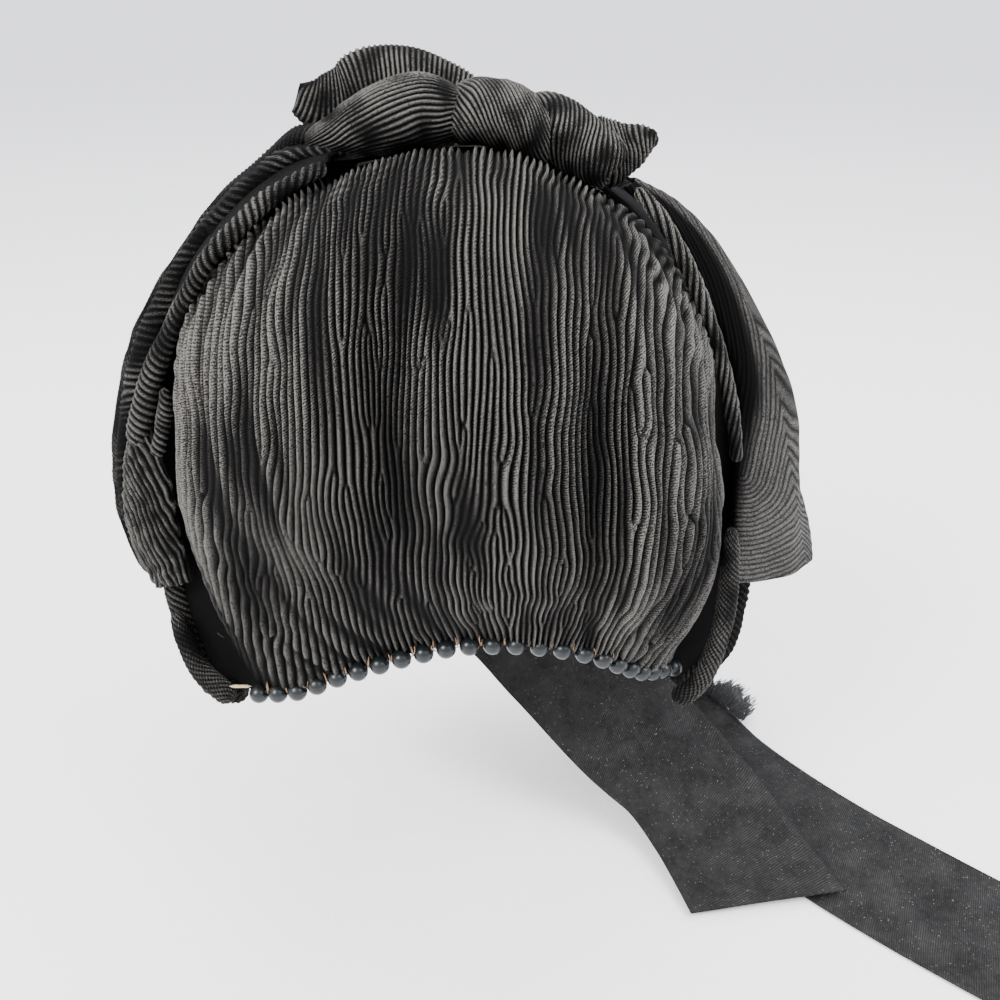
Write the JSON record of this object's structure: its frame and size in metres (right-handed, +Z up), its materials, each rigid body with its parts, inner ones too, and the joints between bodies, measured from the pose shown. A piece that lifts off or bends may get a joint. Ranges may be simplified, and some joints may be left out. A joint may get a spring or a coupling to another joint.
{
  "type": "bonnet",
  "caption": "Black gathered crape bonnet with draped side folds, a bow on top, a row of round beads along the nape and wide ribbon ties.",
  "frame": {"origin": "inside of the top of the bonnet, where it rests on a head", "axes": "+Z up out of the top of the head, +Y towards the face, +X to the right as seen from behind"},
  "size_m": [0.3788, 0.1988, 0.3188],
  "materials": {
    "crape": "matt crinkled crape",
    "stiff_cloth": "matt stiffened cloth",
    "ribbon": "fine ribbed silk ribbon",
    "bead": "satin black turned wood"
  },
  "bodies": {
    "root": {"crown_panel": "crape", "rim_roll": "crape", "left_ear_roll": "crape", "right_ear_roll": "crape", "left_twist_roll": "crape", "left_inner_roll": "crape", "right_twist_roll": "crape", "left_outer_fold": "crape", "left_middle_fold": "crape", "left_lappet": "crape", "right_drape": "crape", "bow_left_tail": "crape", "bow_left_puff": "crape", "bow_knot": "crape", "bow_right_puff": "crape", "bow_right_tail": "crape", "cap_shell": "stiff_cloth", "bead_01": "bead", "bead_02": "bead", "bead_03": "bead", "bead_04": "bead", "bead_05": "bead", "bead_06": "bead", "bead_07": "bead", "bead_08": "bead", "bead_09": "bead", "bead_10": "bead", "bead_11": "bead", "bead_12": "bead", "bead_13": "bead", "bead_14": "bead", "bead_15": "bead", "bead_16": "bead", "bead_17": "bead", "bead_18": "bead", "bead_19": "bead", "bead_20": "bead", "bead_21": "bead", "bead_22": "bead", "bead_23": "bead", "left_tie": "ribbon", "right_tie": "ribbon", "frayed_tuft": "ribbon"}
  },
  "joints": []
}
